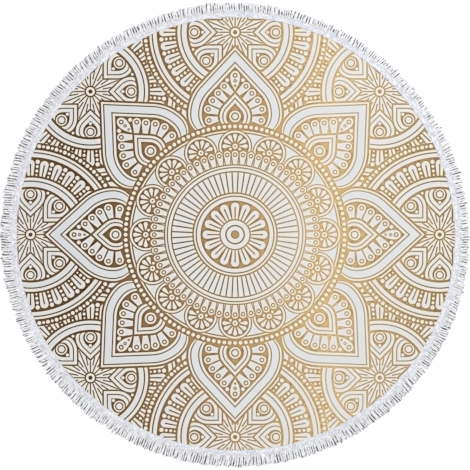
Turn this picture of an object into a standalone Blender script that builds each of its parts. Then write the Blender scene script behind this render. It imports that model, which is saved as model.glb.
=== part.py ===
"""Round beach towel, laid out flat, with a fringe trim all round its edge.

Two pieces, as they are sewn: a disc of towelling, whose hem is part of it, and
the fringe trim. The trim's heading tape laps over the disc's edge and steps
down to the floor outside it, and the locks of the fringe grow from that step.
Metres, +Z up. The origin is the middle of the underside.
"""

import math
import random

import bmesh
import bpy

# Driving sizes, in metres
PRINT_RADIUS = 0.6955        # mean radius of the towelling left bare by the tape
CLOTH_THICKNESS = 0.0024     # towelling with its pile
HEM_SOFTNESS = 0.0007        # rounding of the disc's rim
TAPE_WIDTH = 0.0180          # heading tape, seen from above
TAPE_FOOT = 0.0050           # part of that width which reaches the floor
TAPE_THICKNESS = 0.0011      # tape over the towelling
TAPE_OUTER_HEIGHT = 0.0030   # height of the tape where the locks start
LOCK_LENGTH = 0.0300         # mean length of a lock of fringe
LOCK_LENGTH_SPREAD = 0.0038  # longest and shortest, from that mean
LOCK_DRIFT = 0.0045          # the fringe is longer by this on one side
LOCK_DRIFT_TOWARDS = 229.0   # that side, in degrees from +X
CLEARANCE = 0.0003           # between the tape and the towelling

# How uneven the outline is: each wave adds height * cos(order * (angle - crest))
EDGE_WAVES = (
    # order, height (m), crest (degrees)
    (2, 0.0044, -10.0),
    (3, 0.0019, -34.0),
    (4, 0.0010, 0.0),
)

# Locks of fringe
LOCK_COUNT = 280
LOCK_SHARE = 0.64            # of the pitch, the rest is the gap beside the lock
LOCK_SHARE_SPREAD = 0.05
LOCK_STATIONS = (
    # share of length, of root width, height (m)
    (0.55, 0.84, 0.0024),
    (1.00, 0.46, 0.0015),
)
LEAN_WAVES = (
    # times round the towel, sideways reach at the tip (m), start (degrees)
    (5, 0.0030, 20.0),
    (13, 0.0022, 75.0),
    (31, 0.0012, 140.0),
)
LEAN_SPREAD = 0.0011         # each lock's own lean, added to those
SEED = 7

# Sizes that follow
TAPE_INNER = 0.0             # offsets, counted from the bare towelling's outline
TAPE_STEP = TAPE_WIDTH - TAPE_FOOT
TAPE_OUTER = TAPE_WIDTH
CLOTH_EDGE = TAPE_STEP - CLEARANCE
TAPE_UNDERSIDE = CLOTH_THICKNESS + CLEARANCE
TAPE_TOP = TAPE_UNDERSIDE + TAPE_THICKNESS
PITCH = 2.0 * math.pi / LOCK_COUNT

# Colours and finish
TOWELLING = ("towelling", (0.80, 0.76, 0.68), 0.85)
YARN = ("fringe yarn", (0.88, 0.89, 0.93), 0.80)


def outline_radius(angle, offset):
    """Distance from the towel's middle to its uneven outline, plus an offset."""
    radius = PRINT_RADIUS + offset
    for order, height, crest in EDGE_WAVES:
        radius += height * math.cos(order * (angle - math.radians(crest)))
    return radius


def outline_point(angle, offset):
    radius = outline_radius(angle, offset)
    return radius * math.cos(angle), radius * math.sin(angle)


def lean_at(angle):
    """Sideways reach at a lock's tip, which changes slowly round the towel."""
    return sum(reach * math.sin(times * angle + math.radians(start))
               for times, reach, start in LEAN_WAVES)


def clear_scene():
    for thing in list(bpy.data.objects):
        bpy.data.objects.remove(thing, do_unlink=True)


def make_material(name, colour, roughness):
    material = bpy.data.materials.new(name)
    material.use_nodes = True
    shader = material.node_tree.nodes["Principled BSDF"]
    shader.inputs["Base Color"].default_value = (*colour, 1.0)
    shader.inputs["Roughness"].default_value = roughness
    shader.inputs["Metallic"].default_value = 0.0
    material.diffuse_color = (*colour, 1.0)
    return material


def make_cloth(collection, material):
    """Disc of towelling: the flat outline, thickened, with a rounded rim."""
    curve = bpy.data.curves.new("cloth", "CURVE")
    curve.dimensions = "2D"
    curve.fill_mode = "BOTH"
    curve.extrude = CLOTH_THICKNESS / 2.0 - HEM_SOFTNESS
    curve.bevel_depth = HEM_SOFTNESS
    curve.bevel_resolution = 0
    spline = curve.splines.new("POLY")
    spline.points.add(LOCK_COUNT - 1)
    for index, point in enumerate(spline.points):
        # the curve's bevel adds its depth outside the outline
        x, y = outline_point(index * PITCH, CLOTH_EDGE - HEM_SOFTNESS)
        point.co = (x, y, 0.0, 1.0)
    spline.use_cyclic_u = True
    cloth = bpy.data.objects.new("cloth", curve)
    cloth.location.z = CLOTH_THICKNESS / 2.0
    cloth.data.materials.append(material)
    collection.objects.link(cloth)
    return cloth


def root_angles(rng):
    """Start and end angle of each lock's root, round the tape."""
    angles = []
    for index in range(LOCK_COUNT):
        share = LOCK_SHARE + rng.uniform(-LOCK_SHARE_SPREAD, LOCK_SHARE_SPREAD)
        middle = (index + 0.5) * PITCH
        angles.append(middle - share * PITCH / 2.0)
        angles.append(middle + share * PITCH / 2.0)
    return angles


def extrude_loop(bm, loop, offset, height):
    """Next loop of the tape's section, at its own distance and height."""
    result = bmesh.ops.extrude_edge_only(bm, edges=loop)["geom"]
    for item in result:
        if isinstance(item, bmesh.types.BMVert):
            angle = math.atan2(item.co.y, item.co.x)
            item.co = (*outline_point(angle, offset), height)
    return [item for item in result if isinstance(item, bmesh.types.BMEdge)]


def make_tape(bm, angles):
    """Closed ring of tape: one loop extruded round its stepped section."""
    section = (
        # offset from the outline of the bare towelling, height
        (TAPE_STEP, TAPE_UNDERSIDE),
        (TAPE_STEP, 0.0),
        (TAPE_OUTER, 0.0),
        (TAPE_OUTER, TAPE_OUTER_HEIGHT),
        (TAPE_INNER, TAPE_TOP),
    )
    circle = bmesh.ops.create_circle(bm, segments=len(angles), radius=PRINT_RADIUS)
    for vert, angle in zip(circle["verts"], angles):
        vert.co = (*outline_point(angle, TAPE_INNER), TAPE_UNDERSIDE)
    first = list(bm.edges)
    loop = first
    for offset, height in section:
        loop = extrude_loop(bm, loop, offset, height)
    bmesh.ops.bridge_loops(bm, edges=first + loop)
    bmesh.ops.recalc_face_normals(bm, faces=bm.faces)


def root_faces(bm, angles):
    """Every other face of the tape's outer wall, one for each lock."""
    roots = {}
    for face in bm.faces:
        middle = face.calc_center_median()
        turn = math.atan2(middle.y, middle.x) % (2.0 * math.pi)
        lock = int(turn / PITCH)
        foot_middle = outline_radius(turn, TAPE_OUTER - TAPE_FOOT / 2.0)
        is_wall = abs(face.normal.z) < 0.5 and middle.xy.length > foot_middle
        if is_wall and angles[2 * lock] < turn < angles[2 * lock + 1]:
            roots[lock] = face
    return [roots[lock] for lock in range(LOCK_COUNT)]


def grow_lock(bm, root, rng):
    """Taper one lock outwards from its root, level on the floor."""
    middle = root.calc_center_median()
    angle = math.atan2(middle.y, middle.x)
    outward = (math.cos(angle), math.sin(angle))
    sideways = (-outward[1], outward[0])
    half_width = max(abs((vert.co - middle).xy.dot(sideways)) for vert in root.verts)
    drift = LOCK_DRIFT * math.cos(angle - math.radians(LOCK_DRIFT_TOWARDS))
    length = LOCK_LENGTH + drift + rng.uniform(-LOCK_LENGTH_SPREAD, LOCK_LENGTH_SPREAD)
    lean = lean_at(angle) + rng.uniform(-LEAN_SPREAD, LEAN_SPREAD)
    face = root
    for share, width, height in LOCK_STATIONS:
        face = bmesh.ops.extrude_discrete_faces(bm, faces=[face])["faces"][0]
        centre = face.calc_center_median()
        for vert in face.verts:
            side = math.copysign(half_width * width, (vert.co - centre).xy.dot(sideways))
            out = middle.xy.length + share * length
            across = side + share ** 2 * lean
            vert.co.x = out * outward[0] + across * sideways[0]
            vert.co.y = out * outward[1] + across * sideways[1]
            vert.co.z = height if vert.co.z > centre.z else 0.0


def make_fringe(collection, material):
    """Fringe trim: the heading tape with its locks, one closed body."""
    rng = random.Random(SEED)
    angles = root_angles(rng)
    bm = bmesh.new()
    make_tape(bm, angles)
    for root in root_faces(bm, angles):
        grow_lock(bm, root, rng)
    bmesh.ops.recalc_face_normals(bm, faces=bm.faces)
    mesh = bpy.data.meshes.new("fringe")
    bm.to_mesh(mesh)
    bm.free()
    mesh.materials.append(material)
    fringe = bpy.data.objects.new("fringe", mesh)
    collection.objects.link(fringe)
    return fringe


def centre_on_origin(reference, pieces):
    """Move the pieces so that the reference's outline box is about the origin."""
    xs = [vert.co.x for vert in reference.data.vertices]
    ys = [vert.co.y for vert in reference.data.vertices]
    for piece in pieces:
        piece.location.x -= (min(xs) + max(xs)) / 2.0
        piece.location.y -= (min(ys) + max(ys)) / 2.0


def main():
    clear_scene()
    towel = bpy.data.collections.new("round beach towel")
    bpy.context.scene.collection.children.link(towel)
    cloth = make_cloth(towel, make_material(*TOWELLING))
    fringe = make_fringe(towel, make_material(*YARN))
    centre_on_origin(fringe, (cloth, fringe))


main()
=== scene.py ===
"""Looks of the round beach towel: printed towelling, heading tape, stitching and fringe."""
import cmath
import math
import random

import bpy
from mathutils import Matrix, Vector, geometry, kdtree


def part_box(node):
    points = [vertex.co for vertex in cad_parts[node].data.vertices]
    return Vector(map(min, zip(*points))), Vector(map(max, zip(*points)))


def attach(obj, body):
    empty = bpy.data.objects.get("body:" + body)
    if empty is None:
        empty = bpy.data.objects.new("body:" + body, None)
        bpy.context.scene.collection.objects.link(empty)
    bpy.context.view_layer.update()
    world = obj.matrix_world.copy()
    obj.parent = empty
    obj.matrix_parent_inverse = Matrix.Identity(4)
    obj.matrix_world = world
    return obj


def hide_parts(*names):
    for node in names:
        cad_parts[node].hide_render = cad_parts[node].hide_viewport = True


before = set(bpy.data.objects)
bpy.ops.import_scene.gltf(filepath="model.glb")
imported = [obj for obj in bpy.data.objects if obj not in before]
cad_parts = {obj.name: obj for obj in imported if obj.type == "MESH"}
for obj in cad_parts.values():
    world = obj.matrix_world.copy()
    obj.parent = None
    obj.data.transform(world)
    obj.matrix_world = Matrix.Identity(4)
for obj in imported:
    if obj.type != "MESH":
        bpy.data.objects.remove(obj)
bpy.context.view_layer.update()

# Sizes shared with the part's source, in metres
PRINT_RADIUS = 0.6955        # mean radius of the towelling left bare by the tape
CLOTH_THICKNESS = 0.0024
HEM_SOFTNESS = 0.0007        # rounding of the disc's rim
TAPE_WIDTH = 0.0180
TAPE_FOOT = 0.0050
CLEARANCE = 0.0003
CLOTH_EDGE = TAPE_WIDTH - TAPE_FOOT - CLEARANCE
LOCK_DRIFT = 0.0045          # the fringe is longer by this on one side
LOCK_DRIFT_TOWARDS = 229.0
EDGE_WAVES = (
    # order, height (m), crest (degrees)
    (2, 0.0044, -10.0),
    (3, 0.0019, -34.0),
    (4, 0.0010, 0.0),
)
LEAN_WAVES = (
    # times round the towel, sideways reach at the tip (m), start (degrees)
    (5, 0.0030, 20.0),
    (13, 0.0022, 75.0),
    (31, 0.0012, 140.0),
)
SEED = 7

# The photograph's frame
PIXELS = 470
PIXEL = 0.0032               # metres on the towel
PHOTO_SIDE = PIXELS * PIXEL
PRINT_MIDDLE_PIXEL = (235.1, 234.65)

# The print, in millimetres from its own middle
MM = 0.001
PRINT_STRETCH = (1.0055, 0.9945)
PRINT_SHIFT = (-2.5, -1.0)   # its middle, from the middle of the towel's outline
DRAWN_RADIUS = 716.0         # drawn a little past the tape's inner edge
DRAWN_STEPS = 60             # steps of the rim of an eighth
ROUNDNESS = 0.15             # how far a chord may cut inside its arc
SAME_POINT = 0.03            # points nearer than this are one
SNAP = 0.06                  # points nearer than this to a side of the eighth lie on it
LATTICE = 7.5                # spacing of the points inside and between motifs
LATTICE_ROOM = 3.0           # their least distance from an outline
LONGEST_EDGE = 9.0

# What a face shows
CLOTH, INK, BACK = range(3)
TURN = 2.0 * math.pi

# How much ink lies round a place tints the cloth and the ink there
SHARE_CELL = 1.3             # side of the cells in which it is counted
SHARES = (
    # name, half side of the counted square, in cells
    ("ink_near", 3),
    ("ink_around", 8),
)
SHARE_MARGIN = 10            # cells counted past the drawn eighth


def pairs(loop):
    """Each item of a loop with the next, and the last with the first."""
    return zip(loop, loop[1:] + loop[:1])


def kept_within(share):
    """The number, or 0 or 1 if it lies beyond them."""
    return min(1.0, max(0.0, share))


def eased(share):
    """A share that starts and ends softly."""
    share = kept_within(share)
    return share * share * (3.0 - 2.0 * share)


# ---------------- drawing the print

class Spot:
    """A place on the print, with the direction that its motif faces."""

    def __init__(self, middle=0j, facing=0.0):
        self.middle = middle
        self.facing = facing

    def out(self, distance, angle=0.0, turn=0.0):
        """The spot at that distance and angle, facing away from this one."""
        facing = self.facing + angle
        middle = self.middle + cmath.rect(distance, math.radians(facing))
        return Spot(middle, facing + turn)

    def round(self, count, start=0.0, distance=0.0):
        """Spots evenly round this one; start is a share of their spacing."""
        return [self.out(distance, (index + start) * 360.0 / count) for index in range(count)]

    def beside(self, along, across):
        """The spot moved along and across its own direction."""
        turn = cmath.rect(1.0, math.radians(self.facing))
        return Spot(self.middle + turn * complex(along, across), self.facing)

    def lay(self, outline):
        """The points of an outline, put at this spot."""
        turn = cmath.rect(1.0, math.radians(self.facing))
        return [self.middle + turn * point for point in outline]


class Print:
    """Motifs painted one over another, on the eighth of the towel from 0 to 45 degrees."""

    def __init__(self):
        self.outlines = []
        self.colours = []    # None for an outline that only limits others
        self.limits = []     # the outline that a motif stays inside, or None
        self.covers = []     # outlines that hide what was painted before them

    def add(self, colour, outline, spot, limit=None, covers=False):
        """Paint an outline and give its number, or None if it misses the eighth."""
        points = spot.lay(outline)
        below = all(point.imag < 0.0 for point in points)
        beyond = all(point.imag > point.real for point in points)
        outside = all(abs(point) > DRAWN_RADIUS for point in points)
        if (below or beyond or outside) and colour is not None:
            return None
        self.outlines.append(points)
        self.colours.append(colour)
        self.limits.append(limit)
        if covers:
            self.covers.append(len(self.outlines) - 1)
        return len(self.outlines) - 1

    def shown(self):
        """The motifs that no later cover hides whole."""
        kept = []
        for index, points in enumerate(self.outlines):
            later = (self.outlines[cover] for cover in self.covers if cover > index)
            if not any(all_inside(points, cover) for cover in later):
                kept.append(index)
        return kept


def all_inside(points, convex):
    """Whether the points lie inside a convex outline that runs anticlockwise."""
    for start, end in pairs(convex):
        side = (end - start).conjugate()
        if any((side * (point - start)).imag < 0.0 for point in points):
            return False
    return True


def arc(middle, radius, start, end):
    """Points along an arc, as many as it needs to look round."""
    steps = max(2, math.ceil(abs(end - start) * math.sqrt(radius / (8.0 * ROUNDNESS))))
    return [middle + cmath.rect(radius, start + (end - start) * step / steps)
            for step in range(steps + 1)]


def disc(radius):
    """A round outline."""
    steps = max(8, math.ceil(TURN * math.sqrt(radius / (8.0 * ROUNDNESS))))
    return [cmath.rect(radius, TURN * step / steps) for step in range(steps)]


def bar(start, end, half_width):
    """A straight line along the spot's direction."""
    return [complex(start, -half_width), complex(end, -half_width),
            complex(end, half_width), complex(start, half_width)]


def drop(root, root_half_width, head, head_radius):
    """A drop or tongue: two round ends joined by their tangents."""
    way = head - root
    spread = math.acos((root_half_width - head_radius) / abs(way))
    heading = cmath.phase(way)
    front = arc(head, head_radius, heading - spread, heading + spread)
    back = arc(root, root_half_width, heading + spread, heading + TURN - spread)
    return front + back


def kite_star(valley, point, count):
    """A star whose points lie halfway between the spokes."""
    corners = []
    for index in range(count):
        corners.append(cmath.rect(valley, TURN * index / count))
        corners.append(cmath.rect(point, TURN * (index + 0.5) / count))
    return corners


def petal(half_width, swell, fall, side_angle, inset=0.0):
    """A pointed petal about its widest line, its tip forwards.

    A straight side leaves the tip and meets an arc of radius swell, which reaches
    the widest line; behind that a quarter of an oval, fall long and high, closes it.
    """
    side = math.radians(side_angle)
    lift = half_width - swell
    tip = (lift * math.cos(side) + swell - inset) / math.sin(side)
    half = [complex(tip, 0.0)]
    half += arc(complex(0.0, lift), swell - inset, TURN / 4.0 - side, TURN / 4.0)
    length, height = fall
    room = half_width - inset
    last = math.acos(1.0 - room / height) if room < height else TURN / 4.0
    steps = max(4, math.ceil(last * math.sqrt(length / (8.0 * ROUNDNESS))))
    for step in range(1, steps + 1):
        turn = last * step / steps
        half.append(complex(-length * math.sin(turn), room - height * (1.0 - math.cos(turn))))
    return [point.conjugate() for point in reversed(half) if point.imag > SAME_POINT] + half


def nest(design, colour, sizes, shape, spot, limit=None, covers=False):
    """One outline inside another, ink and cloth by turns."""
    for size in sizes:
        design.add(colour, shape(size), spot, limit, covers)
        covers = False
        colour = CLOTH if colour == INK else INK


def beads(design, spot, distance, radius, count, start=0.0):
    """A ring of round dots; start is a share of their spacing."""
    for place in spot.round(count, start, distance):
        design.add(CLOTH, disc(radius), place)


def dot_pair(design, spot, along, across, radius):
    """A dot on each side of the spot's direction."""
    for side in (1.0, -1.0):
        design.add(CLOTH, disc(radius), spot.beside(along, side * across))


# Round star, which stands half outside the towel
STAR_DISTANCE = 651.2
STAR_GROUND = 296.6
STAR_BEADS = (
    # distance, radius, start
    (285.8, 6.2, 0.0),
    (285.8, 4.6, 0.5),
)
STAR_BEAD_COUNT = 64
STAR_RINGS = (273.2, 266.2, 262.0, 249.9)
STAR_TONGUES = 32
STAR_TONGUE = (190.2, 9.0, 227.9, 13.4)      # root, half-width, head, radius
STAR_SLIT = (189.2, 227.6, 2.1)              # start, end, half-width
STAR_DOTS = ((193.1, 3.2), (206.0, 4.8), (220.3, 4.8), (235.3, 6.9))
STAR_INNER_RINGS = (190.2, 183.8, 174.3, 170.3, 154.4)
STAR_KITE = (53.2, 99.6)                     # radius of valleys and of points
STAR_POINTS = 8
STAR_RAYS = (
    # start, end, share of their spacing to the first, count
    (17.2, 53.2, 0.0, 8),
    (17.2, 94.6, 0.5, 8),
    (40.1, 68.0, 0.5, 16),
)
RAY_HALF_WIDTH = 1.95
BUD_LIMIT = 146.9
BUD_DISTANCE = 129.6
BUD = (46.7, 54.0, (19.0, 19.0), 45.0)       # half-width, swell, fall, side angle
BUD_INSETS = (-4.2, 0.0, 9.3, 12.8, 23.4)
BUD_EYE = (130.0, (17.9, 13.6, 9.6))
BUD_DOT = (103.4, 5.1)
STAR_CORNER_DOTS = (144.5, 4.5)
STAR_HUB = (18.9, 14.2, 6.8)


def draw_star(design, spot):
    """A round star: beads, tongues and dots round eight buds and their rays."""
    design.add(INK, disc(STAR_GROUND), spot, covers=True)
    for distance, radius, start in STAR_BEADS:
        beads(design, spot, distance, radius, STAR_BEAD_COUNT, start)
    nest(design, CLOTH, STAR_RINGS, disc, spot)
    for place in spot.round(STAR_TONGUES):
        design.add(CLOTH, drop(*STAR_TONGUE), place)
        design.add(INK, bar(*STAR_SLIT), place)
    nest(design, INK, STAR_INNER_RINGS, disc, spot)
    for distance, radius in STAR_DOTS:
        beads(design, spot, distance, radius, STAR_TONGUES, 0.5)
    design.add(CLOTH, kite_star(*STAR_KITE, STAR_POINTS), spot)
    for start, end, first, count in STAR_RAYS:
        for place in spot.round(count, first):
            design.add(INK, bar(start, end, RAY_HALF_WIDTH), place)
    limit = design.add(None, disc(BUD_LIMIT), spot)
    eye, radii = BUD_EYE
    dot, radius = BUD_DOT
    for place in spot.round(STAR_POINTS):
        bud = place.out(BUD_DISTANCE, turn=180.0)
        nest(design, INK, BUD_INSETS, lambda inset: petal(*BUD, inset), bud, limit)
        nest(design, CLOTH, radii, disc, place.out(eye), limit)
        design.add(CLOTH, disc(radius), place.out(dot))
    beads(design, spot, *STAR_CORNER_DOTS, STAR_POINTS, 0.5)
    nest(design, INK, STAR_HUB, disc, spot)


# Large petals round the medallion, and the kites in the valleys between them
VALLEY_ANGLE = 22.5
VALLEY_KITE = ((396.8, 0.0), (427.2, 7.7), (439.0, 0.0))
PETAL_DISTANCE = 387.2
PETAL = (146.2, 137.3, (67.2, 67.2), 42.7)
PETAL_INSETS = (-9.3, -3.0, 3.0, 6.9, 28.5, 32.3, 39.7)
INNER_DISTANCE = 379.2
INNER_PETAL = (52.2, 56.0, (39.0, 39.0), 42.0)
INNER_INSETS = (-2.9, 3.2, 11.2, 14.9, 23.7)
INNER_EYE = (380.5, (18.6, 13.1, 9.0))
PETAL_DROPS = (
    # head along, head across, root along, root across
    (367.4, 82.9, 372.5, 53.8),
    (403.2, 85.4, 393.6, 51.2),
    (431.0, 71.7, 412.2, 42.6),
    (454.7, 53.4, 432.0, 27.8),
    (477.4, 34.6, 453.8, 9.6),
)
DROP_ROOT = 7.7
DROP_HEAD = 13.4
DROP_EYE = (8.0, 4.2)
TIP_LEAF_DISTANCE = 507.0
TIP_LEAF = (15.7, 61.0, (20.0, 15.7), 29.9)
TIP_LEAF_EYES = (
    # distance, ink radius, cloth radius
    (512.6, 8.0, 4.0),
    (495.0, 5.4, 2.4),
    (479.0, 4.0, 1.1),
)
TIP_DOTS = (497.3, 25.0, 6.4)                # along, across, radius


def draw_petal(design, spot):
    """A large pointed petal with its drops, leaf, dots and inner petal."""
    place = spot.out(PETAL_DISTANCE)
    nest(design, INK, PETAL_INSETS, lambda inset: petal(*PETAL, inset), place, covers=True)
    for head_along, head_across, root_along, root_across in PETAL_DROPS:
        for side in (1.0, -1.0):
            head = complex(head_along, side * head_across)
            root = complex(root_along, side * root_across)
            design.add(CLOTH, drop(root, DROP_ROOT, head, DROP_HEAD), spot)
            nest(design, INK, DROP_EYE, disc, spot.beside(head.real, head.imag))
    leaf = spot.out(TIP_LEAF_DISTANCE, turn=180.0)
    design.add(CLOTH, petal(*TIP_LEAF), leaf)
    for distance, ink, cloth in TIP_LEAF_EYES:
        nest(design, INK, (ink, cloth), disc, spot.out(distance))
    dot_pair(design, spot, *TIP_DOTS)
    place = spot.out(INNER_DISTANCE)
    nest(design, INK, INNER_INSETS, lambda inset: petal(*INNER_PETAL, inset), place)
    distance, radii = INNER_EYE
    nest(design, CLOTH, radii, disc, spot.out(distance))


# Medallion in the middle
MEDALLION = 359.4
RIM_BEADS = (348.5, 6.2, 128)
RIM_RINGS = (335.6, 331.0, 326.8)
WHEELS = (284.4, 16)                         # distance, count
WHEEL_RINGS = (54.1, 50.4, 44.3)
WHEEL_PETAL = (14.7, 1.0, 33.9, 6.6)         # root, half-width, head, radius
WHEEL_PETAL_STEP = 30.0                      # degrees
WHEEL_PETALS = 7
WHEEL_HUB = (8.6, 2.9)
WHEEL_DOTS = (-9.0, 14.7, 4.5)               # along, across, radius
DROPS = 64
DROP = (226.8, 6.2, 259.5, 10.6)             # root, half-width, head, radius
DROP_BORDER = 3.5
DROP_RING_EYE = (257.4, (7.6, 3.9))
COMB_RINGS = (226.8, 222.7, 217.6, 213.7, 204.7, 200.6)
COMB_LINES = 64
COMB_LINE = (135.3, 201.7, 2.10)             # start, end, half-width
BAND_RINGS = (136.3, 131.3, 125.9, 121.7, 109.9)
TONGUES = 16
TONGUE = (50.3, 8.0, 90.2, 13.3)             # root, half-width, head, radius
TONGUE_SLIT = (49.0, 89.0, 2.0)              # start, end, half-width
HUB_RINGS = (50.3, 46.1, 31.5, 26.9, 13.8)


def draw_medallion(design, spot):
    """The middle round: beads, wheels, drops, comb, band and tongues."""
    design.add(INK, disc(MEDALLION), spot, covers=True)
    beads(design, spot, *RIM_BEADS)
    nest(design, CLOTH, RIM_RINGS, disc, spot)
    distance, count = WHEELS
    for place in spot.round(count, distance=distance):
        draw_wheel(design, place)
    root, half_width, head, radius = DROP
    for place in spot.round(DROPS):
        border = drop(root, half_width + DROP_BORDER, head, radius + DROP_BORDER)
        design.add(INK, border, place)
    eye, radii = DROP_RING_EYE
    for place in spot.round(DROPS):
        design.add(CLOTH, drop(*DROP), place)
        nest(design, INK, radii, disc, place.out(eye))
    nest(design, INK, COMB_RINGS, disc, spot)
    for place in spot.round(COMB_LINES, 0.5):
        design.add(INK, bar(*COMB_LINE), place)
    nest(design, INK, BAND_RINGS, disc, spot)
    for place in spot.round(TONGUES):
        design.add(CLOTH, drop(*TONGUE), place)
        design.add(INK, bar(*TONGUE_SLIT), place)
    nest(design, INK, HUB_RINGS, disc, spot)


def draw_wheel(design, spot):
    """One small wheel, its petals facing out from the middle."""
    nest(design, INK, WHEEL_RINGS, disc, spot)
    for index in range(WHEEL_PETALS):
        place = spot.out(0.0, (index - WHEEL_PETALS // 2) * WHEEL_PETAL_STEP)
        design.add(CLOTH, drop(*WHEEL_PETAL), place)
    nest(design, CLOTH, WHEEL_HUB, disc, spot)
    dot_pair(design, spot, *WHEEL_DOTS)


def draw_print():
    """The whole design on its eighth, from the ground up."""
    design = Print()
    middle = Spot()
    rim = [cmath.rect(DRAWN_RADIUS, TURN / 8.0 * step / DRAWN_STEPS)
           for step in range(DRAWN_STEPS + 1)]
    design.add(INK, [0j] + rim, middle)
    for angle in (45.0, 0.0):
        draw_star(design, middle.out(STAR_DISTANCE, angle))
    half = [complex(*corner) for corner in VALLEY_KITE]
    kite = [half[0], half[1].conjugate(), half[2], half[1]]
    design.add(CLOTH, kite, middle.out(0.0, VALLEY_ANGLE))
    for angle in (0.0, 45.0):
        draw_petal(design, middle.out(0.0, angle))
    draw_medallion(design, middle)
    return design


def split_edges(outline, longest):
    """The same outline, with more points where its edges are longer than that."""
    points = []
    for start, end in pairs(outline):
        steps = max(1, math.ceil(abs(end - start) / longest))
        points += [start + (end - start) * step / steps for step in range(steps)]
    return points


def lattice(spacing, rows, columns):
    """Even points, where every other row is half a step along."""
    return [complex(column + 0.5 * (row % 2), row * math.sqrt(0.75)) * spacing
            for row in rows for column in columns]


def lattice_points(outlines):
    """Even points on the drawn eighth, clear of the outlines."""
    edges = [point for outline in outlines for point in split_edges(outline, LATTICE_ROOM)]
    tree = kdtree.KDTree(len(edges))
    for index, point in enumerate(edges):
        tree.insert((point.real, point.imag, 0.0), index)
    tree.balance()
    rows = range(int(DRAWN_RADIUS / LATTICE) + 1)
    return [point for point in lattice(LATTICE, rows, rows)
            if point.imag < point.real - LATTICE_ROOM and abs(point) < DRAWN_RADIUS
            and tree.find((point.real, point.imag, 0.0))[2] > LATTICE_ROOM]


# What a triangulation gives back: all its triangles, or those inside the outlines
EVERY_TRIANGLE, INNER_TRIANGLES = range(2)


def triangulate(points, outlines, wanted, same_point):
    """Points, triangles, and which points and outlines each of them comes from."""
    flat = [Vector((point.real, point.imag)) for point in points]
    made = geometry.delaunay_2d_cdt(flat, [], outlines, wanted, same_point, True)
    verts, _, triangles, from_points, _, within = made
    return verts, triangles, from_points, within


def print_eighth():
    """Points and coloured triangles of the drawn eighth."""
    design = draw_print()
    kept = design.shown()
    outlines = [split_edges(design.outlines[index], LONGEST_EDGE) for index in kept]
    points = lattice_points(outlines)
    loops = []
    for outline in outlines:
        loops.append(list(range(len(points), len(points) + len(outline))))
        points += outline
    verts, triangles, _, within = triangulate(points, loops, EVERY_TRIANGLE, SAME_POINT)
    coloured = []
    for triangle, inside in zip(triangles, within):
        over = {kept[index] for index in inside}
        if 0 not in over:
            continue
        for index in sorted(over, reverse=True):
            limit = design.limits[index]
            if design.colours[index] is not None and (limit is None or limit in over):
                coloured.append((triangle, design.colours[index]))
                break
    return [complex(*vert) for vert in verts], coloured


def cells_inside(corners):
    """The counting cells whose middles lie in that triangle."""
    corners = [corner / SHARE_CELL for corner in corners]
    edges = list(pairs(corners))
    columns = range(int(min(p.real for p in corners)), int(max(p.real for p in corners)) + 1)
    rows = range(int(min(p.imag for p in corners)), int(max(p.imag for p in corners)) + 1)
    found = []
    for column in columns:
        for row in rows:
            middle = complex(column + 0.5, row + 0.5)
            if all(((end - start).conjugate() * (middle - start)).imag >= 0.0
                   for start, end in edges):
                found.append((column, row))
    return found


def running_sums(inked):
    """Sums of the inked cells of the quarter round, from its corner outwards."""
    size = int(DRAWN_RADIUS / SHARE_CELL) + 2 * SHARE_MARGIN
    sums = [[0] * (size + 1)]
    for row in range(-SHARE_MARGIN, size - SHARE_MARGIN):
        line = [0]
        for column in range(-SHARE_MARGIN, size - SHARE_MARGIN):
            # the cells left of the middle and below it are the mirror of the others
            place = (max(column, -1 - column), max(row, -1 - row))
            line.append(line[-1] + ((max(place), min(place)) in inked))
        sums.append([below + here for below, here in zip(sums[-1], line)])
    return sums


def ink_shares(sums, point):
    """Share of ink in each counted square about a point of the drawn eighth."""
    column = round(point.real / SHARE_CELL) + SHARE_MARGIN
    row = round(point.imag / SHARE_CELL) + SHARE_MARGIN
    shares = []
    for _, half in SHARES:
        left, right = column - half, column + half
        low, high = sums[row - half], sums[row + half]
        inked = high[right] - high[left] - low[right] + low[left]
        shares.append(inked / (2.0 * half) ** 2)
    return shares


def snapped(point):
    """The point, on the side of the eighth if it is very near it."""
    if abs(point.imag) < SNAP:
        return complex(point.real, 0.0)
    if abs(point.real - point.imag) < SNAP:
        middle = (point.real + point.imag) / 2.0
        return complex(middle, middle)
    return point


def whole_print():
    """The eighth mirrored and turned into the whole round, with its shares of ink."""
    verts, coloured = print_eighth()
    inked = set()
    for triangle, colour in coloured:
        if colour == INK:
            inked.update(cells_inside([verts[corner] for corner in triangle]))
    sums = running_sums(inked)
    used = sorted({corner for triangle, _ in coloured for corner in triangle})
    places = {}
    points, shares, faces, colours = [], [], [], []
    for quarter in range(4):
        for mirrored in (False, True):
            copied = {}
            for corner in used:
                point = snapped(verts[corner])
                x, y = (point.imag, point.real) if mirrored else (point.real, point.imag)
                for _ in range(quarter):
                    x, y = -y, x
                place = (x + 0.0, y + 0.0)
                if place not in places:
                    places[place] = len(points)
                    points.append(place)
                    shares.append(ink_shares(sums, point))
                copied[corner] = places[place]
            for triangle, colour in coloured:
                corners = [copied[corner] for corner in triangle]
                faces.append(corners[::-1] if mirrored else corners)
                colours.append(colour)
    return points, shares, faces, colours


# ---------------- outlines and heights

def outline_radius(angle, offset):
    """Distance from the towel's middle to its uneven outline, plus an offset."""
    radius = PRINT_RADIUS + offset
    for order, height, crest in EDGE_WAVES:
        radius += height * math.cos(order * (angle - math.radians(crest)))
    return radius


OUTLINE_STEPS = 720


def cloth_outline():
    """Points round the disc of towelling, about the outline's own middle."""
    angles = [TURN * step / OUTLINE_STEPS for step in range(OUTLINE_STEPS)]
    return [cmath.rect(outline_radius(angle, CLOTH_EDGE), angle) for angle in angles]


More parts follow.
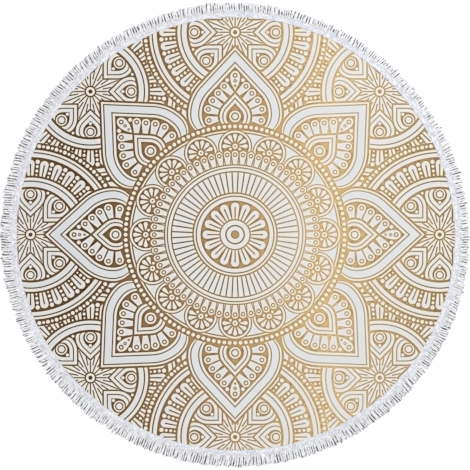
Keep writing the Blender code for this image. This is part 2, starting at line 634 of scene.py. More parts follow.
def outline_middle():
    """Where the outline's own middle lies in the frame, from the CAD cloth's box."""
    low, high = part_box("cloth")
    xs = [point.real for point in cloth_outline()]
    ys = [point.imag for point in cloth_outline()]
    x = (low[0] + high[0]) / 2.0 - (max(xs) + min(xs)) / 2.0
    y = (low[1] + high[1]) / 2.0 - (max(ys) + min(ys)) / 2.0
    return x, y


MIDDLE = outline_middle()
PRINT_MIDDLE = (MIDDLE[0] + PRINT_SHIFT[0] * MM, MIDDLE[1] + PRINT_SHIFT[1] * MM)


def on_towel(angle, offset, height):
    """A point of the frame, from its bearing and its distance from the outline."""
    radius = outline_radius(angle, offset)
    return (MIDDLE[0] + radius * math.cos(angle), MIDDLE[1] + radius * math.sin(angle), height)


SOFT_WAVES = (
    # waves per metre, direction (degrees), height (m), start (degrees)
    (2.3, 12.0, 0.00012, 40.0),
    (3.1, 71.0, 0.00010, 200.0),
    (4.7, 128.0, 0.00008, 95.0),
    (7.9, 33.0, 0.00005, 310.0),
    (9.7, 101.0, 0.00004, 150.0),
)
WAVES_END = 0.060            # the waves fade out over this width beside the tape


def soft_height(x, y, room):
    """Height of the towelling's face, which is never quite level."""
    height = 0.0
    for times, heading, size, start in SOFT_WAVES:
        along = x * math.cos(math.radians(heading)) + y * math.sin(math.radians(heading))
        height += size * math.sin(TURN * times * along + math.radians(start))
    return CLOTH_THICKNESS + height * eased(room / WAVES_END)


def drawn_edge(angle):
    """How far the drawn print reaches from the towel's middle, at that bearing."""
    half = (DRAWN_RADIUS * PRINT_STRETCH[0] * MM, DRAWN_RADIUS * PRINT_STRETCH[1] * MM)
    run = (math.cos(angle) / half[0], math.sin(angle) / half[1])
    start = (-PRINT_SHIFT[0] * MM / half[0], -PRINT_SHIFT[1] * MM / half[1])
    a = run[0] ** 2 + run[1] ** 2
    b = run[0] * start[0] + run[1] * start[1]
    c = start[0] ** 2 + start[1] ** 2 - 1.0
    return (-b + math.sqrt(b * b - a * c)) / a


def lay_print(point):
    """A drawn point's place on the towelling; what the tape hides is drawn in."""
    x = (PRINT_SHIFT[0] + point[0] * PRINT_STRETCH[0]) * MM
    y = (PRINT_SHIFT[1] + point[1] * PRINT_STRETCH[1]) * MM
    radius = math.hypot(x, y)
    angle = math.atan2(y, x)
    bare = outline_radius(angle, 0.0)
    if radius > bare:
        edge = outline_radius(angle, CLOTH_EDGE - HEM_SOFTNESS)
        share = (radius - bare) / (drawn_edge(angle) - bare)
        radius = bare + (edge - bare) * share
        x, y = radius * math.cos(angle), radius * math.sin(angle)
    return MIDDLE[0] + x, MIDDLE[1] + y, soft_height(x, y, bare - radius)


# ---------------- meshes

def finish_piece(piece, name, finishes):
    """Name a piece, give it its finishes and shade it smooth."""
    piece.name = name
    piece.data.name = name
    for finish in finishes:
        piece.data.materials.append(finish)
    piece.data.polygons.foreach_set("use_smooth", [True] * len(piece.data.polygons))
    return piece


def make_piece(name, verts, faces, finishes, slots=None):
    """A mesh object at the origin, with its place in its mesh."""
    mesh = bpy.data.meshes.new(name)
    mesh.from_pydata(verts, [], faces)
    piece = finish_piece(bpy.data.objects.new(name, mesh), name, finishes)
    if slots:
        mesh.polygons.foreach_set("material_index", slots)
    mesh.validate()
    bpy.context.scene.collection.objects.link(piece)
    return piece


def add_map(piece, name, flat):
    """A map for the piece, from the two places of each corner of its faces."""
    piece.data.uv_layers.new(name=name).data.foreach_set("uv", flat)


def add_values(piece, name, values):
    """A value at each point of the piece, for its finish to read."""
    piece.data.attributes.new(name, "FLOAT", "POINT").data.foreach_set("value", values)


BAKE_MAP = "OFBake"
REGIONS = {
    # middle and radius of each kind of face's own round on the map
    CLOTH: (0.705, 0.295, 0.285),
    INK: (0.295, 0.705, 0.285),
    BACK: (0.201, 0.201, 0.190),
}
RIM_ON_MAP = 0.012           # room for the rim round the towel's reach
RIM_SPREAD = 8.0             # how far the rim is laid out, by its height
RIM_STEPS = (
    # offset from the cloth's edge, height
    (0.0, CLOTH_THICKNESS - HEM_SOFTNESS),
    (0.0, HEM_SOFTNESS),
    (-HEM_SOFTNESS, 0.0),
)
BACK_LATTICE = 0.045         # spacing of the points inside the underside
BACK_ROOM = 0.025            # their least distance from the cloth's edge
SAME_BACK_POINT = 0.001      # millimetres


def rim_loop(faces):
    """The outer border of the printed face, in order."""
    edges = dict.fromkeys(edge for face in faces for edge in pairs(face))
    border = {start: end for start, end in edges if (end, start) not in edges}
    loop = [next(iter(border))]
    while border[loop[-1]] != loop[0]:
        loop.append(border[loop[-1]])
    return loop


def make_towelling(finishes):
    """One closed sheet: the printed face, its rim in steps, and the underside."""
    points, shares, faces, colours = whole_print()
    verts = [lay_print(point) for point in points]
    loop = rim_loop(faces)
    ring = loop
    for offset, height in RIM_STEPS:
        below = list(range(len(verts), len(verts) + len(loop)))
        for index in loop:
            angle = math.atan2(verts[index][1] - MIDDLE[1], verts[index][0] - MIDDLE[0])
            verts.append(on_towel(angle, CLOTH_EDGE + offset, height))
        for (here, there), (under, next_under) in zip(pairs(ring), pairs(below)):
            faces.append([there, here, under, next_under])
        ring = below
    loose, triangles = fill_back([complex(*verts[index][:2]) for index in ring])
    ring = ring + list(range(len(verts), len(verts) + len(loose)))
    verts += [(point.real, point.imag, 0.0) for point in loose]
    faces += [[ring[corner] for corner in reversed(triangle)] for triangle in triangles]
    colours += [BACK] * (len(faces) - len(colours))
    piece = make_piece("printed_towelling", verts, faces, finishes, colours)
    shares += [[0.0] * len(SHARES)] * (len(verts) - len(shares))
    for (name, _), values in zip(SHARES, zip(*shares)):
        add_values(piece, name, values)
    map_for_bake(piece)
    return piece


def fill_back(ring):
    """Loose points and even triangles that fill the underside's border."""
    rows = int(PRINT_RADIUS / BACK_LATTICE / math.sqrt(0.75)) + 1
    rows = range(-rows, rows + 1)
    loose = [point + complex(*MIDDLE) for point in lattice(BACK_LATTICE, rows, rows)
             if abs(point) < outline_radius(cmath.phase(point), CLOTH_EDGE - BACK_ROOM)]
    points = [point / MM for point in ring + loose]
    border = [list(range(len(ring)))]
    made = triangulate(points, border, INNER_TRIANGLES, SAME_BACK_POINT)
    _, triangles, from_points, _ = made
    return loose, [[from_points[corner][0] for corner in triangle] for triangle in triangles]


def map_for_bake(piece):
    """One map with the ink, the bare cloth and the back each in their own round."""
    reach = outline_radius(0.0, CLOTH_EDGE) + RIM_ON_MAP
    flat = []
    for face in piece.data.polygons:
        across, up, radius = REGIONS[face.material_index]
        for corner in face.vertices:
            x, y, z = piece.data.vertices[corner].co
            grow = radius / reach
            if face.material_index == BACK:
                grow *= 1.0 + RIM_SPREAD * z
            flat += [across + (x - MIDDLE[0]) * grow, up + (y - MIDDLE[1]) * grow]
    add_map(piece, BAKE_MAP, flat)


# ---------------- tape, stitches, fringe

MERGE_DISTANCE = 0.00002


def open_circle(**sizes):
    """Add a circle and open it for editing, with nothing else selected."""
    bpy.ops.object.select_all(action="DESELECT")
    bpy.ops.mesh.primitive_circle_add(**sizes)
    bpy.ops.object.mode_set(mode="EDIT")
    bpy.ops.mesh.select_all(action="SELECT")
    return bpy.context.object


def close_edit():
    """Close what should be closed, face it outwards and leave edit mode."""
    bpy.ops.mesh.select_all(action="SELECT")
    bpy.ops.mesh.remove_doubles(threshold=MERGE_DISTANCE)
    bpy.ops.mesh.normals_make_consistent(inside=False)
    bpy.ops.object.mode_set(mode="OBJECT")


def extrude(*way):
    """Extrude what is selected that far."""
    bpy.ops.mesh.extrude_region_move(TRANSFORM_OT_translate={"value": way})


def resize(grow, middle):
    """Resize what is selected about that point."""
    bpy.ops.transform.resize(value=grow, center_override=middle)


def wave_sum(table, angle):
    """Waves round the towel added up, each of so many times, size and start."""
    return sum(size * math.sin(times * angle + math.radians(start))
               for times, size, start in table)


# Heading tape
TAPE_SECTION = (
    # offset from the bare towelling's outline, height: over the top, then back below
    (0.0000, 0.0025),
    (0.0001, 0.0032),
    (0.0007, 0.0037),
    (0.0022, 0.0039),
    (0.0045, 0.0040),
    (0.0090, 0.0040),
    (0.0125, 0.0038),
    (0.0150, 0.0035),
    (0.0170, 0.0031),
    (0.0180, 0.0023),
    (0.0180, 0.0008),
    (0.0172, 0.0000),
    (0.0135, 0.0000),
    (0.0130, 0.0008),
    (0.0130, 0.0026),
)
TAPE_SECTION_TOPS = 9        # how many of those are its upper face
TAPE_STATIONS = 1440
TAPE_PUCKERS = (
    # times round the towel, height (m), start (degrees)
    (97, 0.00014, 10.0),
    (151, 0.00010, 120.0),
    (211, 0.00007, 250.0),
)
TAPE_WANDERS = (
    # times round the towel, shift of the inner edge (m), start (degrees)
    (23, 0.0004, 70.0),
    (57, 0.0003, 190.0),
)
TAPE_MAP = "tape_run"


def tape_height(angle, offset):
    """Height of the tape's upper face."""
    tops = TAPE_SECTION[:TAPE_SECTION_TOPS]
    height = tops[-1][1]
    for (near, low), (far, high) in zip(tops, tops[1:]):
        if near <= offset <= far:
            height = low + (high - low) * (offset - near) / (far - near)
            break
    return height + wave_sum(TAPE_PUCKERS, angle)


def make_tape(finish):
    """A round ring extruded along the tape's section, then bent to the towel's outline."""
    offset, height = TAPE_SECTION[0]
    piece = open_circle(vertices=TAPE_STATIONS, radius=PRINT_RADIUS + offset)
    bpy.ops.transform.translate(value=(0.0, 0.0, height))
    for further, higher in TAPE_SECTION[1:] + TAPE_SECTION[:1]:
        extrude(0.0, 0.0, higher - height)
        grow = (PRINT_RADIUS + further) / (PRINT_RADIUS + offset)
        resize((grow, grow, 1.0), (0.0, 0.0, 0.0))
        offset, height = further, higher
    close_edit()
    places = [place_on_tape(vert.co) for vert in piece.data.vertices]
    map_tape(piece, places)
    for vert, (angle, row) in zip(piece.data.vertices, places):
        offset, height = TAPE_SECTION[row]
        wander = wave_sum(TAPE_WANDERS, angle) * (1.0 - offset / TAPE_WIDTH)
        lifted = wave_sum(TAPE_PUCKERS, angle) if 1 <= row < TAPE_SECTION_TOPS else 0.0
        vert.co = on_towel(angle, offset + wander, height + lifted)
    return finish_piece(piece, "heading_tape", [finish])


def place_on_tape(point):
    """Bearing of a point of the round ring, and its row in the section."""
    place = (math.hypot(point.x, point.y) - PRINT_RADIUS, point.z)
    gaps = [math.dist(place, corner) for corner in TAPE_SECTION]
    return math.atan2(point.y, point.x), gaps.index(min(gaps))


def map_tape(piece, places):
    """Map of the tape: how far round, and how far across, in metres."""
    across = [0.0]
    for here, there in pairs(TAPE_SECTION):
        across.append(across[-1] + math.dist(here, there))
    flat = []
    for face in piece.data.polygons:
        middle = math.atan2(face.center.y, face.center.x)
        rows = [places[corner][1] for corner in face.vertices]
        closing = max(rows) - min(rows) > 1
        for corner, row in zip(face.vertices, rows):
            turn = (places[corner][0] - middle + math.pi) % TURN - math.pi
            last = closing and row == 0
            flat += [(middle + turn) * PRINT_RADIUS, across[-1 if last else row]]
    add_map(piece, TAPE_MAP, flat)


def long_form(sides, rings, oval=1.0, twist=0.0):
    """Points and faces of a closed form along X, extruded ring by ring.

    A ring is its place from 0 to 1 and its size; oval widens the first ring across
    and narrows it in height, and twist turns each ring a little further.
    """
    piece = open_circle(vertices=sides, radius=1.0, fill_type="NGON",
                        rotation=(0.0, TURN / 4.0, 0.0))
    place, size = rings[0]
    bpy.ops.transform.translate(value=(place, 0.0, 0.0))
    resize((1.0, size * oval, size / oval), (place, 0.0, 0.0))
    for further, next_size in rings[1:]:
        middle = (further, 0.0, 0.0)
        extrude(further - place, 0.0, 0.0)
        resize((1.0, next_size / size, next_size / size), middle)
        if twist:
            bpy.ops.transform.rotate(value=twist, orient_axis="X", center_override=middle)
        place, size = further, next_size
    close_edit()
    points = [piece.matrix_world @ vert.co for vert in piece.data.vertices]
    faces = [list(face.vertices) for face in piece.data.polygons]
    bpy.data.objects.remove(piece)
    return points, faces


def add_copy(verts, faces, form, places):
    """One more copy of a form's faces, on points of its own."""
    faces += [[len(verts) + corner for corner in face] for face in form]
    verts += places


# Stitching
STITCH_ROWS = (0.0024, 0.0108)   # offsets from the bare towelling's outline
STITCH_COUNT = 1180
STITCH_LENGTH = 0.0027
STITCH_RADIUS = 0.00038
STITCH_SLANT = 0.10
STITCH_SINK = 1.6            # how much lower its ends lie, by its radius
STITCH_LIFT = 0.55           # how high its middle lies, by its radius
STITCH_SIDES = 5
STITCH_RINGS = ((0.0, 0.35), (0.16, 0.90), (0.50, 1.00), (0.84, 0.90), (1.0, 0.35))


def make_stitches(finish):
    """Two rows of stitches: one stitch modelled, and copied along the tape."""
    rng = random.Random(SEED)
    points, form = long_form(STITCH_SIDES, STITCH_RINGS)
    verts, faces = [], []
    for offset in STITCH_ROWS:
        for index in range(STITCH_COUNT):
            slant = rng.uniform(-STITCH_SLANT, STITCH_SLANT)
            places = []
            for point in points:
                along = (point.x - 0.5) * STITCH_LENGTH
                angle = TURN * index / STITCH_COUNT + along / PRINT_RADIUS
                lift = STITCH_LIFT - STITCH_SINK * (point.x - 0.5) ** 2
                height = tape_height(angle, offset) + (point.z + lift) * STITCH_RADIUS
                shift = offset + slant * along - point.y * STITCH_RADIUS
                places.append(on_towel(angle, shift, height))
            add_copy(verts, faces, form, places)
    return make_piece("stitching", verts, faces, [finish])


# Fringe
QUARTERS = ("east", "north", "west", "south")
TUFTS = 600                  # the yarns hang in tufts, with painted shadow in the gaps between
TUFT_LEAN_SPREAD = 0.0009
TUFT_LENGTH_SPREAD = 0.0012
TUFT_SHIFT = 0.28            # of the spacing of tufts
TUFT_GATHER = (0.34, 0.56)   # how much narrower a tuft is than its root
GATHERED = 0.35              # share of the length by which it is
UPPER_YARNS = (-1.0, 0.0, 1.0)               # places in a tuft, in yarns
LOWER_YARNS = (-0.5, 0.5, 1.5)               # the last one lies in the gap, painted dark as its shadow
UPPER_HEIGHTS = (0.0026, 0.0017)             # at the root and at the tip
LOWER_HEIGHTS = (0.0012, 0.0010)
UPPER_SHARE = 0.98           # of the lower yarns' length
YARN_ROOT = 0.0166           # offset where the yarns leave the tape
YARN_LENGTH = 0.0330
YARN_LENGTH_SPREAD = 0.0022
YARN_LEAN_SPREAD = 0.0005
YARN_RADIUS = 0.00108
YARN_RADIUS_SPREAD = 0.00012
YARN_SHIFT = 0.00025
YARN_CURL = 0.0005           # sideways, at the tip
CURL_TURN = 4.0              # radians of that curl along a yarn
YARN_TINT = (0.0, 0.18)      # how much darker one yarn may be than another
ROOT_PAINTED_SHADE = (0.0, 0.30)      # and how much painted shade darkens it beside the tape
ROOT_REACH = 0.40            # share of the length over which that fades
YARN_BEAT = (-0.10, 0.20)    # how much darker it is here and there along its length
GAP_SHADOW_BEAT = (0.35, 1.45)      # and how much the gap's painted shadow changes there
YARN_RISE = (-0.0003, 0.0006)
YARN_STATIONS = 8
YARN_SIDES = 6
YARN_OVAL = 1.18
YARN_TURN = 0.55             # radians from one station to the next
YARN_TIP = 0.45              # share of the radius at the cut end
GAP_SHADOW_YARN = 1.30              # the yarn painted dark as the gap's shadow, by the others' radius
# how dark the gap's painted shadow is, and where along the yarns it starts, ends and blurs
GAP_SHADOW_LEVELS = (0.80, 1.45)
GAP_STARTS = (0.04, 0.45)
GAP_ENDS = (0.90, 1.10)
GAP_REACH = 0.12             # and as much further out where the fringe is longer
GAP_BLUR = 0.10
GAP_SHADOW_WAVES = (
    # times round the towel, change of the painted shadow's darkness, start (degrees)
    (7, 0.16, 15.0),
    (19, 0.20, 160.0),
)
GAP_SHADOW_DRIFT = 0.15             # painted shadow darker by this on the side where the fringe is longer
# the yarns' darker tone and their painted shade, at each point
TONE_AND_PAINTED_SHADE_NAME = "shade"


def drift_at(angle):
    """From 1 on the side where the fringe is longest to -1 opposite it."""
    return math.cos(angle - math.radians(LOCK_DRIFT_TOWARDS))


def make_fringe(finish):
    """Four quarters of fringe: one yarn modelled, and copied along its own path."""
    rng = random.Random(SEED)
    rings = [(station / YARN_STATIONS, 1.0) for station in range(YARN_STATIONS)]
    points, form = long_form(YARN_SIDES, rings + [(1.0, YARN_TIP)], YARN_OVAL, YARN_TURN)
    pieces = []
    for quarter, name in enumerate(QUARTERS):
        verts, faces, shades = [], [], []
        for index in range(TUFTS // len(QUARTERS)):
            tuft = TURN * ((quarter - 0.5) / len(QUARTERS) + index / TUFTS)
            for path in tuft_paths(rng, tuft):
                bent = [path(point) for point in points]
                add_copy(verts, faces, form, [place for place, _ in bent])
                shades += [shade for _, shade in bent]
        piece = make_piece("fringe_" + name, verts, faces, [finish])
        add_values(piece, TONE_AND_PAINTED_SHADE_NAME, shades)
        pieces.append(piece)
    return pieces


def tuft_paths(rng, middle):
    """One path for each yarn of the tuft at that bearing."""
    pitch = TURN / TUFTS
    shift = rng.uniform(-TUFT_SHIFT, TUFT_SHIFT) * pitch
    lean = wave_sum(LEAN_WAVES, middle) + rng.gauss(0.0, TUFT_LEAN_SPREAD)
    length = YARN_LENGTH + LOCK_DRIFT * drift_at(middle) + rng.gauss(0.0, TUFT_LENGTH_SPREAD)
    gather = rng.uniform(*TUFT_GATHER)
    # how dark the painted shadow in this tuft's gap is
    gap = rng.uniform(*GAP_SHADOW_LEVELS) + GAP_SHADOW_DRIFT * drift_at(middle) + wave_sum(GAP_SHADOW_WAVES, middle)
    gap_start = rng.uniform(*GAP_STARTS)
    gap_end = rng.uniform(*GAP_ENDS) + GAP_REACH * drift_at(middle)
    layers = (
        (UPPER_YARNS, UPPER_HEIGHTS, UPPER_SHARE),
        (LOWER_YARNS, LOWER_HEIGHTS, 1.0),
    )
    paths = []
    for places, heights, share in layers:
        for place in places:
            off = place * pitch / len(places)
            in_gap = place == LOWER_YARNS[-1]
            paths.append(yarn_path(
                rng,
                angle=middle + shift + off,
                gather=0.0 if in_gap else off * PRINT_RADIUS * gather,
                lean=lean + rng.gauss(0.0, YARN_LEAN_SPREAD),
                length=share * (length + rng.gauss(0.0, YARN_LENGTH_SPREAD)),
                heights=heights,
                radius=YARN_RADIUS * (GAP_SHADOW_YARN if in_gap else 1.0),
                gap=(gap_start, gap_end, kept_within(gap) if in_gap else 0.0),
            ))
    return paths


def yarn_path(rng, angle, gather, lean, length, heights, radius, gap):
    """How the modelled yarn is bent: from a point of it to its place and shade."""
    radius += rng.uniform(-YARN_RADIUS_SPREAD, YARN_RADIUS_SPREAD)
    shift = rng.uniform(-YARN_SHIFT, YARN_SHIFT)
    curl = rng.gauss(0.0, YARN_CURL)
    curl_start = rng.uniform(0.0, TURN)
    rise = rng.uniform(*YARN_RISE)
    tint = rng.uniform(*YARN_TINT)
    root_painted_shade = rng.uniform(*ROOT_PAINTED_SHADE)
    beats = [rng.uniform(*YARN_BEAT) for _ in range(YARN_STATIONS + 1)]
    gap_shadow_beats = [rng.uniform(*GAP_SHADOW_BEAT) for _ in range(YARN_STATIONS + 1)]
    start_height, end_height = heights
    gap_start, gap_end, gap_shadow_darkness = gap
    base = outline_radius(angle, YARN_ROOT)
    outward = (math.cos(angle), math.sin(angle))

    def path(point):
        share = point.x
        across = shift + lean * share ** 2 - gather * eased(share / GATHERED)
        curled = math.sin(curl_start + CURL_TURN * share) - math.sin(curl_start)
        across += curl * curled * share + point.y * radius
        height = start_height + (end_height - start_height) * share
        height += rise * math.sin(math.pi * share)
        height = max(height, radius * YARN_OVAL) + point.z * radius
        out = base + length * share
        place = (MIDDLE[0] + out * outward[0] - across * outward[1],
                 MIDDLE[1] + out * outward[1] + across * outward[0], height)
        station = round(share * YARN_STATIONS)
        # painted shade: dark along the gap's yarn as its shadow, and darker beside the tape
        painted_gap_shadow = gap_shadow_darkness * gap_shadow_beats[station]
        painted_gap_shadow *= kept_within((share - gap_start) / GAP_BLUR)
        painted_gap_shadow *= kept_within((gap_end - share) / GAP_BLUR)
        rooted = kept_within(1.0 - share / ROOT_REACH)
        return place, kept_within(tint + root_painted_shade * rooted + beats[station] + painted_gap_shadow)

    return path


# ---------------- finishes

class Value:
    """A number or a colour on its way through a finish's nodes."""

    def __init__(self, finish, socket):
        self.finish = finish
        self.socket = socket

    def math(self, operation, first, second):
        return self.finish.node("Math", {"operation": operation}, {0: first, 1: second})

    def __add__(self, other):
        return self.math("ADD", self, other)

    def __sub__(self, other):
        return self.math("SUBTRACT", self, other)

    def __rsub__(self, other):
        return self.math("SUBTRACT", other, self)

    def __mul__(self, other):
        return self.math("MULTIPLY", self, other)

    __radd__ = __add__
    __rmul__ = __mul__


DULL_GLOSS = 0.2


class Finish:
    """A material and the nodes that give its colour, roughness and relief."""

    def __init__(self, name):
        self.material = bpy.data.materials.new(name)
        self.material.use_nodes = True
        self.tree = self.material.node_tree
        self.shader = self.tree.nodes["Principled BSDF"]

    def node(self, kind, settings, inputs, output=0):
        """A new node of that kind, and the value that it gives."""
        made = self.tree.nodes.new("ShaderNode" + kind)
        for name, setting in settings.items():
            setattr(made, name, setting)
        for name, value in inputs.items():
            self.feed(made.inputs[name], value)
        return Value(self, made.outputs[output])

    def feed(self, socket, value):
        """Link a value to a socket, or set the socket to a plain number or colour."""
        if isinstance(value, Value):
            self.tree.links.new(value.socket, socket)
        else:
            socket.default_value = value

    def place(self):
        """Where a point lies on its object."""
        return self.node("TexCoord", {}, {}, output=3)

    def attribute(self, name):
        """A value that the piece holds at each point."""
        return self.node("Attribute", {"attribute_name": name}, {}, output=2)

    def noise(self, place, scale, detail, roughness=0.5):
        """Cloudy noise from 0 to 1."""
        inputs = {"Vector": place, "Scale": scale, "Detail": detail, "Roughness": roughness}
        return self.node("TexNoise", {}, inputs)

    def ramp(self, place, stops):
        """A colour that follows the stops, each of a place and a colour."""
        value = self.node("ValToRGB", {}, {0: place})
        elements = value.socket.node.color_ramp.elements
        while len(elements) < len(stops):
            elements.new(0.5)
        for element, (position, colour) in zip(elements, stops):
            element.position = position
            element.color = colour
        return value

    def mix(self, share, first, second, blend="MIX"):
        """One colour turning into another."""
        settings = {"data_type": "RGBA", "blend_type": blend}
        return self.node("Mix", settings, {"Factor": share, 6: first, 7: second}, output=2)

    def vector(self, operation, *inputs):
        """Vector or colour arithmetic, part by part."""
        return self.node("VectorMath", {"operation": operation}, dict(enumerate(inputs)))

    def end(self, colour, roughness, relief=None, strength=0.0, distance=0.0, sheen=0.0):
        """Feed the shader; relief is a height, raised by that strength and distance."""
        self.feed(self.shader.inputs["Base Color"], colour)
        self.feed(self.shader.inputs["Roughness"], roughness)
        self.shader.inputs["Sheen Weight"].default_value = sheen
        self.shader.inputs["Specular IOR Level"].default_value = DULL_GLOSS
        if relief is not None:
            inputs = {"Strength": strength, "Distance": distance, "Height": relief}
            self.feed(self.shader.inputs["Normal"], self.node("Bump", {}, inputs))
        return self.material


LIGHT_LEVEL = 1.25           # what a white, level face sends back under these lights
GLOSS_LIFT = 0.02            # what the sheen and gloss add to that
DARKEST = 0.002              # least part of a base colour
LIGHTEST = 0.95              # and the greatest


def paint_colour(red, green, blue):
    """The base colour that shows as that screen colour (sRGB) under these lights."""
    linear = []
    for part in (red, green, blue):
        share = part / 255.0
        share = share / 12.92 if share <= 0.04045 else ((share + 0.055) / 1.055) ** 2.4
        linear.append(min(LIGHTEST, max(DARKEST, (share - GLOSS_LIFT) / LIGHT_LEVEL)))
    return (*linear, 1.0)


# Screen colours from left to right, by the place across the photograph. A part above
# 255 asks for more light than the screen shows, so the base colour stops at LIGHTEST.
CLOTH_APART = (
    # with little ink round it; darker towards the left, as painted shade
    (0.0, (220, 222, 225)),
    (0.5, (230, 230, 230)),
)
CLOTH_AMONG = (
    # with much ink round it
    (0.0, (260, 245, 225)),
    (0.6, (260, 240, 200)),
)
INK_APART = (
    # dark brown, grey, grey gold and brown again
    (0.30, (20, 15, 15)),
    (0.52, (85, 85, 80)),
    (0.70, (155, 150, 140)),
    (0.96, (75, 65, 55)),
)
INK_AMONG = (
    # brown, darker brown, gold and brown again
    (0.03, (110, 90, 65)),
    (0.18, (90, 70, 50)),
    (0.50, (170, 140, 105)),
    (0.70, (200, 170, 125)),
    (0.96, (150, 130, 100)),
)
CLOTH_GAIN = (0.10, 0.10, -0.05)
INK_GAIN = (1.2, 1.2, 1.0)
NO_GAIN = (0.0, 0.0, 0.0)
SHARE_SPAN = (0.15, 0.75)    # from little ink round a place to much
TOWELLINGS = (
    # name, colours, gain by ink close by, roughness, strength of the pile, sheen
    ("bare towelling", CLOTH_APART, CLOTH_AMONG, CLOTH_GAIN, 0.80, 0.35, 0.15),
    ("printed towelling", INK_APART, INK_AMONG, INK_GAIN, 0.70, 0.22, 0.02),
    ("back of towelling", CLOTH_APART, CLOTH_APART, NO_GAIN, 0.85, 0.60, 0.15),
)
PATCH_DARKNESS = (0.90, 0.90, 0.90, 1.0)
PATCH_MOTTLE = 0.50          # shares of wide mottle and of nap in the darker patches
PATCH_NAP = 0.35
PATCH_START = 0.18


def towelling_finish(name, apart, among, gain, roughness, relief, sheen):
    """Sheared towelling: its colour goes by the place across and the ink round it."""
    finish = Finish(name)
    place = finish.place()
    across = finish.node("SeparateXYZ", {}, {0: place}) * (1.0 / PHOTO_SIDE) + 0.5
    near, around = [finish.attribute(share) for share, _ in SHARES]
    low, high = SHARE_SPAN
    apart, among = [finish.ramp(across, [(stop, paint_colour(*colour)) for stop, colour in stops])
                    for stops in (apart, among)]
    base = finish.mix((around - low) * (1.0 / (high - low)), apart, among)
    lift = finish.vector("MULTIPLY_ADD", near - around, gain, (1.0, 1.0, 1.0))
    base = finish.vector("MULTIPLY", base, lift)
    mottle = finish.noise(place, 26.0, 3.0)
    nap = finish.noise(place, 900.0, 2.0)
    loops = finish.node("TexVoronoi", {}, {"Vector": place, "Scale": 620.0})
    patchy = mottle * PATCH_MOTTLE + nap * PATCH_NAP - PATCH_START
    colour = finish.mix(patchy, base, finish.mix(1.0, base, PATCH_DARKNESS, "MULTIPLY"))
    height = nap * 0.5 + loops * 0.5
    return finish.end(colour, roughness + 0.08 * nap, height, relief, 0.0005, sheen)


TAPE_WEAVE = (
    # which way the bands follow each other, scale, how wavy they are, share of the weave
    ("X", 130.0, 1.2, 0.6),
    ("Y", 170.0, 0.8, 0.4),
)
TAPE_SHADES = (0.25, 2.8, 1.45)              # by weave and by fine spots, and their start


def tape_finish():
    """Woven heading tape: close ribs across it and warp lines along it."""
    finish = Finish("woven tape")
    place = finish.node("UVMap", {"uv_map": TAPE_MAP}, {})
    spots = finish.noise(place, 170.0, 3.0, 0.7)
    spread = finish.noise(place, 60.0, 3.0)
    bands = []
    for direction, scale, wavy, share in TAPE_WEAVE:
        inputs = {"Vector": place, "Scale": scale, "Distortion": wavy, "Detail": 1.0}
        bands.append(finish.node("TexWave", {"bands_direction": direction}, inputs) * share)
    ribs, warp = bands
    weave = ribs + warp
    by_weave, by_spots, start = TAPE_SHADES
    shade = weave * by_weave + (spots * by_spots + spread - start)
    colour = finish.mix(shade, paint_colour(184, 186, 202), paint_colour(260, 260, 262))
    return finish.end(colour, 0.75 + 0.1 * spread, weave, 0.5, 0.0004, sheen=0.2)


def thread_finish():
    """Sewing thread: nearly white, with a fine grain."""
    finish = Finish("sewing thread")
    grain = finish.noise(finish.place(), 1500.0, 1.0)
    colour = finish.mix(grain, paint_colour(206, 208, 214), paint_colour(236, 237, 240))
    return finish.end(colour, 0.55 + 0.1 * grain, grain, 0.2, 0.0002)


YARN_WHITES = ((0.79, 0.80, 0.84, 1.0), (0.97, 0.97, 0.98, 1.0))
# the darkest of the yarns' tone and of their painted shade
YARN_TONE_AND_PAINTED_SHADE = (0.015, 0.015, 0.02, 1.0)


def yarn_finish():
    """Spun yarn: white, darker by its own tone, with painted shade: dark yarns as the shadow in
    the gaps, and darker beside the tape.
    """
    finish = Finish("fringe yarn")
    fibres = finish.noise(finish.place(), 1300.0, 2.0)
    colour = finish.mix(finish.attribute(TONE_AND_PAINTED_SHADE_NAME), finish.mix(fibres, *YARN_WHITES), YARN_TONE_AND_PAINTED_SHADE)
    return finish.end(colour, 0.8 + 0.1 * fibres, fibres, 0.3, 0.0003, sheen=0.2)


FLOOR_GREYS = ((0.93, 0.93, 0.93, 1.0), (0.94, 0.94, 0.94, 1.0))


def floor_finish():
    """A pale, dull floor."""
    finish = Finish("pale floor")
    return finish.end(finish.mix(finish.noise(finish.place(), 3.0, 2.0), *FLOOR_GREYS), 0.9)


# ---------------- studio

CAMERA_HEIGHT = 6.0
CAMERA_REACH = 100.0
SENSOR = 36.0                # millimetres
FLOOR_SIDE = 30.0
FLOOR_DROP = 0.0002          # below the towel's underside
AREA_LIGHTS = (
    # name, place, side, power
    ("key", (2.6, 2.2, 3.4), 3.0, 132.0),
    ("fill", (-2.5, -2.1, 3.2), 3.5, 72.0),
)
SKY = 0.71


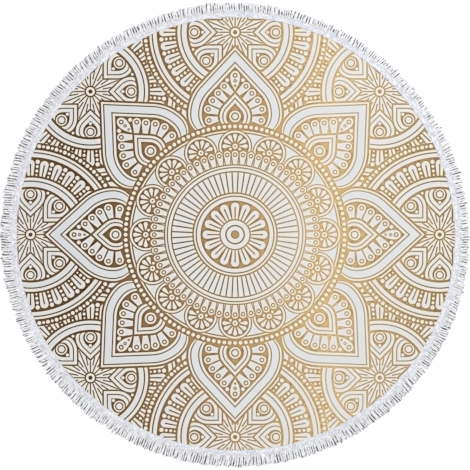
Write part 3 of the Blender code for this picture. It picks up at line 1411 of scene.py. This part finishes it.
def add_to_scene(name, data, place):
    """A new object with that data, at that place."""
    thing = bpy.data.objects.new(name, data)
    thing.location = place
    bpy.context.scene.collection.objects.link(thing)
    return thing


def make_camera():
    """The camera looks straight down, on the middle of the photograph."""
    x = PRINT_MIDDLE[0] + (PIXELS / 2.0 - PRINT_MIDDLE_PIXEL[0]) * PIXEL
    y = PRINT_MIDDLE[1] - (PIXELS / 2.0 - PRINT_MIDDLE_PIXEL[1]) * PIXEL
    lens = bpy.data.cameras.new("camera")
    lens.sensor_width = SENSOR
    lens.lens = SENSOR * CAMERA_HEIGHT / PHOTO_SIDE
    lens.clip_end = CAMERA_REACH
    place = (x, y, CAMERA_HEIGHT + CLOTH_THICKNESS)
    bpy.context.scene.camera = add_to_scene("camera", lens, place)


def make_studio():
    """Camera, two soft lights, a white sky and the floor."""
    make_camera()
    for name, place, side, power in AREA_LIGHTS:
        light = bpy.data.lights.new(name, "AREA")
        light.size = side
        light.energy = power
        lamp = add_to_scene(name, light, place)
        lamp.rotation_euler = Vector(place).to_track_quat("Z", "Y").to_euler()
    sky = bpy.data.worlds.new("studio")
    sky.use_nodes = True
    sky.node_tree.nodes["Background"].inputs["Color"].default_value = (1.0, 1.0, 1.0, 1.0)
    sky.node_tree.nodes["Background"].inputs["Strength"].default_value = SKY
    bpy.context.scene.world = sky
    bpy.context.scene.view_settings.view_transform = "Standard"
    bpy.ops.object.select_all(action="DESELECT")
    bpy.ops.mesh.primitive_plane_add(size=FLOOR_SIDE, location=(0.0, 0.0, -FLOOR_DROP))
    finish_piece(bpy.context.object, "floor", [floor_finish()])


# ---------------- the towel


def sheet_area():
    """Flat area of the round of towelling."""
    return math.pi / OUTLINE_STEPS * sum(abs(point) ** 2 for point in cloth_outline())


def main():
    """Make the pieces, hide the CAD parts that they show, and attach each to the root body."""
    towelling = make_towelling([towelling_finish(*kind) for kind in TOWELLINGS])
    tape = make_tape(tape_finish())
    stitching = make_stitches(thread_finish())
    quarters = make_fringe(yarn_finish())
    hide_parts("cloth")
    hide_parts("fringe")
    for piece in [towelling, tape, stitching] + quarters:
        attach(piece, "root")
    sheet_area()


main()
make_studio()
